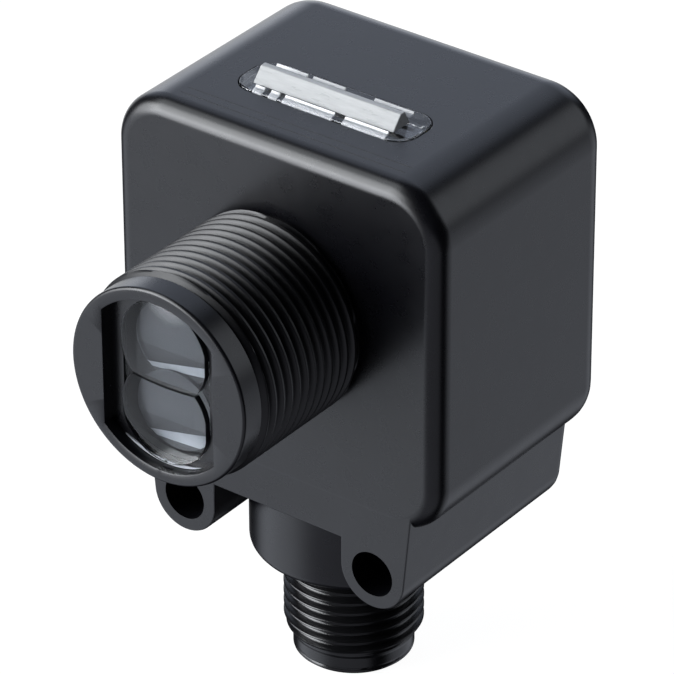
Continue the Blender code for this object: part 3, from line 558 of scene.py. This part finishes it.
def helix(name, radius_at, start, turns, pitch, phases, inner, placing, steps=160):
    """A threaded tube. Its rows follow the helix, so a groove stays one unbroken line of faces.

    radius_at(height, phase) gives the surface, and inner lists the (radius, height) points that
    close the section at the far end and back to the start.
    """
    end = start + turns * pitch
    shape = bmesh.new()
    columns = []
    for i in range(steps + 1):
        share = i / steps
        angle = tau * share
        column = []
        for turn in range(-1, int(turns) + 2):
            for phase in phases:
                height = start + (turn + phase + share) * pitch
                height = min(max(height, start), end)
                column.append((radius_at(height, phase), height))
        column += inner
        columns.append([shape.verts.new((r * cos(angle), r * sin(angle), h)) for r, h in column])
    count = len(columns[0])
    for here, there in zip(columns, columns[1:]):
        for j in range(count):
            k = (j + 1) % count
            shape.faces.new((here[j], there[j], there[k], here[k]))
    bmesh.ops.remove_doubles(shape, verts=shape.verts, dist=0.0001)
    bmesh.ops.dissolve_degenerate(shape, dist=0.0001, edges=shape.edges)
    bmesh.ops.transform(shape, matrix=placing, verts=shape.verts)
    return made_object(name, shape)


def apply_all(piece):
    """Replaces a piece's mesh with what its modifiers make of it."""
    bpy.context.view_layer.update()
    graph = bpy.context.evaluated_depsgraph_get()
    mesh = bpy.data.meshes.new_from_object(piece.evaluated_get(graph))
    piece.modifiers.clear()
    piece.data = mesh


def combine(piece, operation, *others):
    """Joins, cuts or intersects a piece with others, which are used up."""
    for other in others:
        modifier = piece.modifiers.new(other.name, "BOOLEAN")
        modifier.operation = operation
        modifier.solver = "EXACT"
        modifier.object = other
    apply_all(piece)
    for other in others:
        bpy.data.objects.remove(other, do_unlink=True)


def soften(piece, wanted, width, segments=3, angle=40):
    """Rounds the sharp edges that wanted(a, b) picks by their end points."""
    shape = bmesh.new()
    shape.from_mesh(piece.data)
    picked = [
        e for e in shape.edges
        if len(e.link_faces) == 2 and e.calc_face_angle() > radians(angle)
        and wanted(e.verts[0].co, e.verts[1].co)
    ]
    bmesh.ops.bevel(shape, geom=picked, offset=width, segments=segments, profile=0.5,
                    affect="EDGES", clamp_overlap=True)
    shape.to_mesh(piece.data)
    shape.free()


def finished(piece, finish, body="sensor", sharp=38, weighted=True):
    """Scales a piece to metres, shades it, and hands it to the frame."""
    piece.data.transform(Matrix.Scale(MM, 4))
    piece.data.shade_smooth()
    piece.data.set_sharp_from_angle(angle=radians(sharp))
    for name in (finish if isinstance(finish, tuple) else (finish,)):
        piece.data.materials.append(FINISHES[name])
    if weighted:
        normals = piece.modifiers.new("Flat faces", "WEIGHTED_NORMAL")
        normals.keep_sharp = True
        normals.weight = 90
    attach(piece, body)
    return piece


# --- Housing -------------------------------------------------------------------------------------


def ear(side):
    """One ear: a round end, an upright inner side and a flared outer side."""
    tangent = arc(EAR_RADIUS, pi, tau - EAR_FLARE, 49, (EAR_X, EAR_Z))
    outer_u, outer_v = tangent[-1]
    top_u = outer_u + (EAR_TOP - outer_v) * sin(EAR_FLARE) / cos(EAR_FLARE)
    outline = [(u * side, v) for u, v in tangent + [(top_u, EAR_TOP), (EAR_X - EAR_RADIUS, EAR_TOP)]]
    piece = extruded(f"ear_{side}", outline, along_y, EAR_FRONT, EAR_REAR)
    soften(piece, lambda a, b: min(a.y, b.y) > EAR_REAR - 0.01, EAR_REAR_ROUND, 6)
    soften(piece, lambda a, b: max(a.y, b.y) < EAR_FRONT + 0.01, 0.14, 2)
    return piece


def boss():
    """The round boss under the block, with a rounded lower edge."""
    centre = (BOSS_RADIUS - BOSS_ROUND, BOSS_BOTTOM + BOSS_ROUND)
    profile = [(0, BOSS_TOP), (BOSS_RADIUS, BOSS_TOP)] + arc(BOSS_ROUND, 0, -pi / 2, 9, centre)
    return turned("boss", profile + [(0, BOSS_BOTTOM)], Matrix.Translation((0, CONNECTOR_Y, 0)), 144,
                  closed=False)


def apron():
    """The front wall of the block carried down between the ears, ahead of the boss."""
    outline = [(-APRON_HALF, APRON_BOTTOM), (APRON_HALF, APRON_BOTTOM), (APRON_HALF, APRON_TOP),
               (-APRON_HALF, APRON_TOP)]
    piece = extruded("apron", outline, along_y, APRON_FRONT, CONNECTOR_Y)

    def lower_lip(a, b):
        return max(a.y, b.y) < APRON_FRONT + 0.01 and max(a.z, b.z) < APRON_BOTTOM + 0.01

    soften(piece, lower_lip, 0.22, 4)
    return piece


def round_cutter(name, radius, axis, start, end, centre, steps=96):
    """A plain cylinder along an axis."""
    outline = [(centre[0] + u, centre[1] + v) for u, v in arc(radius, 0, tau * (1 - 1 / steps), steps)]
    return extruded(name, outline, axis, start, end)


def window_outline(margin):
    """The indicator window seen from above, grown by margin."""
    return rounded_rectangle(
        (-WINDOW_HALF - margin, WINDOW_MIDDLE - WINDOW_DEEP - margin),
        (WINDOW_HALF + margin, WINDOW_MIDDLE + WINDOW_DEEP + margin), WINDOW_CORNER + margin,
    )


def make_housing():
    """The block, ears and boss as one moulded shell, open at the rear for its cover."""
    shell = rounded_box("housing_shell", (-SIDE, FRONT, BOTTOM), (SIDE, 0, TOP), CORNER, FRONT_FILLET,
                        REAR_FILLET)
    combine(shell, "UNION", boss(), ear(-1), ear(1), apron())
    half = SIDE - WALL
    inside = rounded_rectangle((-half, BOTTOM + WALL), (half, TOP - WALL), CAVITY_CORNER)
    cutters = [
        extruded("cavity", inside, along_y, FRONT + FRONT_WALL, 1),
        round_cutter("bore", NOSE_BORE, along_y, FRONT - 1, FRONT + FRONT_WALL + 1, (0, 0)),
        extruded("window_seat", window_outline(SEAM), along_z, TOP - WINDOW_SEAT, TOP + 1),
        extruded("light_slot", window_outline(-WINDOW_LIP), along_z, TOP - WALL - 1,
                 TOP - WINDOW_SEAT + 1),
        round_cutter("boss_bore", BOSS_BORE, along_z, BOSS_BOTTOM + BOSS_FLOOR, BOTTOM + WALL + 1,
                     (0, CONNECTOR_Y)),
        round_cutter("sleeve_hole", THREAD_RADIUS + SEAM, along_z, BOSS_BOTTOM - 1, BOSS_BOTTOM + 2,
                     (0, CONNECTOR_Y)),
    ]
    for line in WITNESS_LINES:
        groove = rounded_rectangle((line - WITNESS_HALF, TOP - WITNESS_DEPTH),
                                   (line + WITNESS_HALF, TOP + 0.05), 0.01, 2)
        cutters.append(extruded(f"witness_{line}", groove, along_x, *WITNESS_ENDS))
    for side in (-1, 1):
        cutters.append(round_cutter(f"ear_hole_{side}", EAR_HOLE, along_y, FRONT - 1, 1,
                                    (side * EAR_X, EAR_Z)))
    combine(shell, "DIFFERENCE", *cutters)

    def hole_rim(a, b):
        return all(
            abs(sqrt((abs(p.x) - EAR_X) ** 2 + (p.z - EAR_Z) ** 2) - EAR_HOLE) < 0.02
            and (p.y < FRONT + 0.05 or p.y > EAR_REAR - 0.05) for p in (a, b)
        )

    def window_rim(a, b):
        return all(abs(p.z - TOP) < 0.01 and p.y < -8 and abs(p.x) < WINDOW_HALF + 1 for p in (a, b))

    def cover_rim(a, b):
        return all(abs(p.y) < 0.01 and abs(p.x) < half + 0.1 for p in (a, b))

    soften(shell, hole_rim, 0.16)
    soften(shell, window_rim, 0.12)
    soften(shell, cover_rim, 0.15)
    finished(shell, "black_housing")
    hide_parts("housing")


def smooth(value, low, high):
    """An eased step from 0 at low to 1 at high."""
    share = min(max((value - low) / (high - low), 0), 1)
    return share * share * (3 - 2 * share)


def make_nose():
    """The threaded barrel: sloping flanks, flat crests, a lead chamfer, and a neck at the block."""
    length = FRONT - NOSE_START
    neck = FRONT - NECK_LENGTH - NOSE_START
    turns = length / NOSE_PITCH
    half = [0.06, 0.10, 0.12, 0.2, 0.3, 0.385, 0.415]
    phases = [0] + half + [0.5] + [1 - phase for phase in reversed(half)]
    offset = (FIRST_GROOVE / NOSE_PITCH - 0.5) % 1

    def surface(height, phase):
        away = abs(phase - 0.5) * 2
        groove = 1 - min(max((away - ROOT_SHARE) / (1 - ROOT_SHARE - CREST_SHARE), 0), 1)
        fade = smooth(height, NOSE_LEAD, NOSE_LEAD + 0.25) * (1 - smooth(height, neck - 0.1, neck + 0.05))
        drop = (NOSE_RADIUS - NECK_RADIUS) * smooth(height, neck, neck + 0.2)
        chamfer = GROOVE_DEPTH * max(0.0, 1 - height / NOSE_LEAD)
        return NOSE_RADIUS - max(GROOVE_DEPTH * groove * fade, drop, chamfer)

    placing = Matrix.Translation((0, NOSE_START, 0)) @ Matrix.Rotation(-pi / 2, 4, "X")
    placing = placing @ Matrix.Rotation(tau * offset, 4, "Z")
    inner = [(NOSE_BORE, length), (NOSE_BORE, 0)]
    nose = helix("nose_thread", surface, 0, turns, NOSE_PITCH, phases, inner, placing)
    finished(nose, "black_thread", sharp=50, weighted=False)
    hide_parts("housing")


def make_rear_cover():
    """The rear cover plate: a soft rim, a well for the adjuster and a skirt round its hollow inside."""
    outline = rounded_rectangle((COVER_LOW.x, COVER_LOW.z), (COVER_HIGH.x, COVER_HIGH.z), 1.85)
    cover = extruded("rear_cover_plate", outline, along_y, COVER_LOW.y, COVER_HIGH.y)
    skirt = 1.2
    hollow = rounded_rectangle((COVER_LOW.x + skirt, COVER_LOW.z + skirt),
                               (COVER_HIGH.x - skirt, COVER_HIGH.z - skirt), 1.0)
    centre = (0, ADJUSTER_Z)
    combine(
        cover, "DIFFERENCE",
        extruded("cover_hollow", hollow, along_y, COVER_LOW.y - 1, -1.6),
        round_cutter("rotor_hole", ROTOR_RADIUS + 0.08, along_y, -3, 1, centre),
        round_cutter("adjuster_well", WELL_RADIUS, along_y, -WELL_DEPTH, 1, centre),
    )
    soften(cover, lambda a, b: min(a.y, b.y) > -0.01, 0.15)
    finished(cover, "black_cover")
    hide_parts("rear_cover")


# --- Nose cap and lenses -------------------------------------------------------------------------


def make_bezel():
    """The nose cap: a rounded rim, a collar and a double-flat slot for the lenses."""
    collar_back = NOSE_START - COLLAR_GAP
    depth = collar_back - BEZEL_FRONT
    rim = arc(BEZEL_ROUND, pi / 2, 0, 6, (BEZEL_RADIUS - BEZEL_ROUND, depth - BEZEL_ROUND))
    profile = [(0, depth)] + rim + [
        (BEZEL_RADIUS, BEZEL_REAR_BREAK), (BEZEL_RADIUS - BEZEL_REAR_BREAK, 0), (BEZEL_BORE, 0),
        (BEZEL_BORE, depth - BEZEL_PLATE), (0, depth - BEZEL_PLATE),
    ]
    placing = Matrix.Translation((0, collar_back, 0)) @ NOSE_AXIS
    cap = turned("nose_cap", profile, placing, closed=False)
    combine(cap, "DIFFERENCE",
            extruded("slot", double_flat(SLOT_ARC, SLOT_HALF), along_y, BEZEL_FRONT - 1, collar_back + 1))

    def slot_rim(a, b):
        return max(a.y, b.y) < BEZEL_FRONT + 0.01 and max(abs(a.x), abs(b.x)) < SLOT_HALF + 0.1

    soften(cap, slot_rim, 0.1, 2)
    finished(cap, "black_bezel")
    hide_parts("lens_bezel")


def lobe_outline(side):
    """A circle cut flat at its sides and where it meets the other lobe."""
    rise = acos(LOBE_HALF / LOBE_RADIUS)
    dip = asin((LOBE_CENTRE - 0.1) / LOBE_RADIUS)
    centre = (0, LOBE_CENTRE)
    outline = arc(LOBE_RADIUS, rise, pi - rise, 41, centre)
    outline += arc(LOBE_RADIUS, pi + rise, pi + dip, 12, centre)
    outline += arc(LOBE_RADIUS, tau - dip, tau - rise, 12, centre)
    return [(u, v * side) for u, v in outline]


def make_twin_lens():
    """One clear moulding: a flange with two domed lobes, one above the other; the lobes' side walls are
    coloured dark, as painted shade.
    """
    placing = Matrix.Translation((0, LENS_BACK, 0)) @ NOSE_AXIS
    thick = LENS_BACK - LENS_FRONT
    lens = turned("lens_moulding", [(0, thick), (LENS_RADIUS, thick), (LENS_RADIUS, 0), (0, 0)], placing,
                  144, closed=False)
    reach = LOBE_RADIUS * 1.1
    sphere = (LOBE_RADIUS**2 + LOBE_SAG**2) / (2 * LOBE_SAG)
    apex = LENS_BACK - LOBE_APEX
    rows = 12
    for side in (1, -1):
        lobe = extruded(f"lobe_{side}", lobe_outline(side), along_y, LOBE_APEX - 1, LENS_FRONT + 0.5)
        dome = []
        for i in range(rows):
            radius = reach * i / (rows - 1)
            dome.append((radius, apex - sphere + sqrt(sphere**2 - radius**2)))
        centred = Matrix.Translation((0, 0, side * LOBE_CENTRE)) @ placing
        cap = turned(f"dome_{side}", dome + [(reach, 0.5), (0, 0.5)], centred, 96, closed=False)
        combine(lobe, "INTERSECT", cap)
        combine(lens, "UNION", lobe)
    finished(lens, ("clear_lens", "lens_wall_painted_shade"), sharp=30)
    for face in lens.data.polygons:
        # Side walls near the front get the dark painted shade colour.
        painted_shade_wall = abs(face.normal.y) < 0.2
        face.material_index = int(painted_shade_wall and face.center.y < (LENS_FRONT - 0.05) * MM)
    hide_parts("twin_lens")


def block_outline(margin):
    """The outline of both lobes together, grown by margin: straight sides and round ends."""
    radius = LOBE_RADIUS + margin
    return arc(radius, 0, pi, 61, (0, LOBE_CENTRE)) + arc(radius, pi, tau, 61, (0, -LOBE_CENTRE))


def make_lens_frame():
    """The thin black frame that holds the lens flange down, seen as a ledge inside the slot."""
    behind, ahead = LENS_FRONT - 0.03, BEZEL_FRONT + BEZEL_PLATE + 0.01
    ledge = extruded("lens_frame", double_flat(SLOT_ARC, SLOT_HALF), along_y, ahead, behind)
    combine(ledge, "DIFFERENCE",
            extruded("frame_opening", block_outline(0.06), along_y, ahead - 1, behind + 1))
    finished(ledge, "black_bezel")
    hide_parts("lens_bezel")


def make_lens_lip():
    """A pale crescent behind the clear moulding's lower lip, below the lower lobe: a painted reflection of
    the light that the clear lip catches.
    """
    outer, deepest, steps = SLOT_ARC - 0.06, 0.44, 32
    start, end = radians(-124), radians(-63)
    inner = []
    for i in range(1, steps):
        share = 1 - i / steps
        angle = start + (end - start) * share
        radius = outer - deepest * sin(pi * share)
        inner.append((radius * cos(angle), radius * sin(angle)))
    front = BEZEL_FRONT + BEZEL_PLATE - 0.14
    lip = extruded("painted_lip_reflection", arc(outer, start, end, steps + 1) + inner, along_y, front, front + 0.13)
    finished(lip, "filter_bright")
    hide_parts("twin_lens")


def make_optics_carrier():
    """The black insert behind the lens, with a light channel behind each lobe."""
    low, high = CARRIER_LOW.y, CARRIER_HIGH.y
    radius, depth = CARRIER_HIGH.x, high - low
    placing = Matrix.Translation((0, high, 0)) @ NOSE_AXIS
    carrier = turned("optics_insert", [(0, depth), (radius, depth), (radius, 0), (0, 0)], placing, 128,
                     closed=False)
    for side in (1, -1):
        channel = round_cutter(f"channel_{side}", CHANNEL_RADIUS, along_y, low - 1, high + 1,
                               (0, side * CHANNEL_CENTRE), 64)
        combine(carrier, "DIFFERENCE", channel)
    finished(carrier, "black_optics")
    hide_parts("optics_carrier")


# Facet lines of a filter disc, as heights at its left and right edge above the disc's own centre
FACETS = (
    (1, (-0.85, -0.85), (-2.60, -1.19), (-2.95, -2.20)),
    (-1, (-1.15, -1.15), (-2.75, -1.35), (-3.05, -2.90)),
)


def make_filters():
    """The two filter discs: each is pressed with a flat grey upper field and two facets below, one dark as
    painted shade and one bright as a painted reflection.
    """
    front = LENS_BACK + 0.06
    for side, first, second, third in FACETS:
        name = "upper" if side > 0 else "lower"
        centre = side * DISC_CENTRE
        shape = bmesh.new()
        rows = 96
        bands = []
        for i in range(rows + 1):
            u = -DISC_RADIUS + 2 * DISC_RADIUS * i / rows
            half = sqrt(max(DISC_RADIUS**2 - u**2, 0))
            share = i / rows
            cuts = [half]
            for left, right in (first, second, third):
                level = left + (right - left) * share
                cuts.append(min(max(level, -half), half))
            cuts.append(-half)
            depths = (0, 0, 0.10, 0.25, 0.25)
            bands.append([
                shape.verts.new((u, front + depth, centre + level)) for level, depth in zip(cuts, depths)
            ])
        for here, there in zip(bands, bands[1:]):
            for j in range(len(here) - 1):
                face = shape.faces.new((here[j], here[j + 1], there[j + 1], there[j]))
                # Band 1 takes the painted shade colour, band 2 the painted reflection colour; bands 0 and 3
                # keep the plain grey.
                face.material_index = (0, 1, 2, 0)[j]
        bmesh.ops.remove_doubles(shape, verts=shape.verts, dist=0.0005)
        grown = bmesh.ops.extrude_face_region(shape, geom=list(shape.faces))
        moved = [g for g in grown["geom"] if isinstance(g, bmesh.types.BMVert)]
        bmesh.ops.translate(shape, vec=(0, DISC_THICK, 0), verts=moved)
        disc = made_object(f"filter_{name}", shape)
        finished(disc, ("filter_grey", "painted_shade_dark", "filter_bright"), sharp=10,
                 weighted=False)


# --- Indicator window ----------------------------------------------------------------------------


def make_window():
    """The clear window plate, and on it the ridge with its frosted, streaky finish."""
    window = extruded("window_plate", window_outline(0.1), along_z, WINDOW_BASE, TOP + WINDOW_RAISE)
    soften(window, lambda a, b: min(a.z, b.z) > TOP, 0.16, 4)
    finished(window, "clear_window")
    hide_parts("indicator_window")

    base = TOP + WINDOW_RAISE - 0.03
    front, rear = WINDOW_MIDDLE - 1.45, WINDOW_MIDDLE + 0.75
    section = [(front, base), (rear, base), (WINDOW_MIDDLE + 0.15, RIDGE_TOP),
               (WINDOW_MIDDLE - 0.4, RIDGE_TOP)]
    ridge = extruded("window_ridge", section, along_x, -RIDGE_HALF - 0.15, RIDGE_HALF - 0.1)
    soften(ridge, lambda a, b: max(a.z, b.z) > base + 0.01, 0.09, 3)
    finished(ridge, "window_ridge")
    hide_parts("indicator_window")


def make_window_strips():
    """White strips inside the front and rear of the window, with gaps between them: painted highlights
    standing in for light caught in the clear window.
    """
    top, floor, width = TOP + 0.30, TOP - 0.3, 0.55
    front, rear = WINDOW_MIDDLE - 2.3, WINDOW_MIDDLE + 1.55
    strips = {
        "front_left": (-6.6, -5.6, front),
        "front_ring": (-5.0, -4.1, front),
        "front_middle": (-3.6, 1.4, front),
        "front_right": (2.4, 6.7, front),
        "rear_left": (-7.4, -4.2, rear),
        "rear_middle": (-3.7, -0.4, rear),
        "rear_right": (2.5, 6.4, rear),
    }
    for name, (left, right, near) in strips.items():
        section = [(near, floor), (near + width, floor), (near + width, top)]
        strip = extruded(f"window_strip_{name}", section, along_x, left, right)
        soften(strip, lambda a, b: True, 0.05, 2)
        finished(strip, "window_strip")


# --- Connector -----------------------------------------------------------------------------------


def make_connector():
    """The M12 x 1 threaded sleeve with its chamfer, pilot, cup and key."""
    start, end = PLUG_END, BOSS_BOTTOM + 1.3
    turns = (end - start) / THREAD_PITCH
    phases = [0, 0.1, 0.2, 0.3, 0.4, 0.46, 0.5, 0.54, 0.6, 0.7, 0.8, 0.9]

    def surface(height, phase):
        z = start + height
        away = abs(phase - 0.5) * 2
        depth = THREAD_DEPTH * min(max((away - 0.12) / 0.62, 0), 1)
        body = THREAD_RADIUS - depth
        if z < THREAD_END:
            limit = PILOT_RADIUS + (THREAD_RADIUS - PILOT_RADIUS) * max(
                0.0, (z - CHAMFER_END) / (THREAD_END - CHAMFER_END))
            body = min(body, limit)
        if z < CHAMFER_END:
            body = PILOT_RADIUS
        mouth = MOUTH_ROUND * (1 - smooth(z, PLUG_END, PLUG_END + 0.45)) ** 2
        into = smooth(z, PLUG_END + 0.5, PLUG_END + 0.6)
        out_of = smooth(z, PLUG_END + 0.65, PLUG_END + 0.75)
        waist = PILOT_GROOVE * (into - out_of)
        shoulder = 0.5 * smooth(z, BOSS_BOTTOM - 0.55, BOSS_BOTTOM - 0.35)
        return body - mouth - waist - max(0.0, shoulder - depth)

    height = end - start
    inner = [(CUP_RADIUS, height), (CUP_RADIUS, 0.25), (CUP_RADIUS + 0.25, 0)]
    placing = Matrix.Translation((0, CONNECTOR_Y, start)) @ Matrix.Rotation(radians(200), 4, "Z")
    sleeve = helix("connector_thread", surface, 0, turns, THREAD_PITCH, phases, inner, placing, 128)
    finished(sleeve, "black_sleeve", sharp=60, weighted=False)
    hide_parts("connector_sleeve")

    wall = CONNECTOR_Y + CUP_RADIUS
    key = extruded(
        "connector_key", rounded_rectangle((-KEY_HALF, wall - KEY_HEIGHT), (KEY_HALF, wall + 0.3), 0.25, 9),
        along_z, PLUG_END + 1.5, KEY_TOP,
    )
    soften(key, lambda a, b: max(a.z, b.z) < PLUG_END + 1.51, 0.15)
    finished(key, "black_sleeve")
    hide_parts("connector_sleeve")


# --- Adjuster ------------------------------------------------------------------------------------


def make_rotor():
    """The adjuster's rotor with a screwdriver slot and a rounded face."""
    front = ROTOR_LOW.y
    face = ROTOR_FACE - front
    profile = [(0, face)] + arc(0.22, pi / 2, 0, 5, (ROTOR_RADIUS - 0.22, face - 0.22)) + [
        (ROTOR_RADIUS, 0.9), (ROTOR_HIGH.x, 0.9), (ROTOR_HIGH.x, 0), (0, 0),
    ]
    placing = Matrix.Translation((0, front, ADJUSTER_Z)) @ Matrix.Rotation(-pi / 2, 4, "X")
    rotor = turned("rotor", profile, placing, 96, closed=False)
    slot = rounded_rectangle((-0.4, ADJUSTER_Z - 1.6), (0.4, ADJUSTER_Z + 1.6), 0.1, 5)
    combine(rotor, "DIFFERENCE", extruded("rotor_slot", slot, along_y, ROTOR_FACE - 0.7, ROTOR_FACE + 1))
    soften(rotor, lambda a, b: min(a.y, b.y) > ROTOR_FACE - 0.01, 0.06, 2)
    finished(rotor, "rotor_grey", "adjuster")
    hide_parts("adjuster_rotor")


# --- Carried-over CAD nodes ----------------------------------------------------------------------

KEPT = {
    "seal_rubber": ("lens_seal", "window_seal", "connector_seal", "adjuster_seal"),
    "board_green": ("optics_board", "main_board", "indicator_board"),
    "chip_black": ("amplifier_chip", "controller_chip", "output_driver", "voltage_regulator"),
    "flex_amber": ("board_link",),
    "can_steel": ("receiver_shield",),
    "capacitor_sleeve": ("buffer_capacitor",),
    "led_red": ("emitter_led",),
    "led_green": ("power_led",),
    "led_yellow": ("output_led",),
    "diode_dark": ("receiver_photodiode",),
    "black_insert": ("connector_insert",),
    "pin_gold": tuple(f"contact_pin_{number}" for number in range(1, 5)),
    "lead_copper": tuple(f"connector_lead_{number}" for number in range(1, 5)),
    "adjuster_blue": ("adjuster_body",),
}


def finish_kept_nodes():
    """Gives each CAD node that is not replaced its own fine-grained finish."""
    for finish, names in KEPT.items():
        for name in names:
            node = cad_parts[name]
            node.data.materials.clear()
            node.data.materials.append(FINISHES[finish])
            node.data.shade_smooth()
            node.data.set_sharp_from_angle(angle=radians(35))


make_camera()
make_world()
make_floor()
make_housing()
make_nose()
make_rear_cover()
make_bezel()
make_twin_lens()
make_lens_frame()
make_lens_lip()
make_optics_carrier()
make_filters()
make_window()
make_window_strips()
make_connector()
make_rotor()
finish_kept_nodes()
bpy.context.scene.view_settings.view_transform = "Standard"
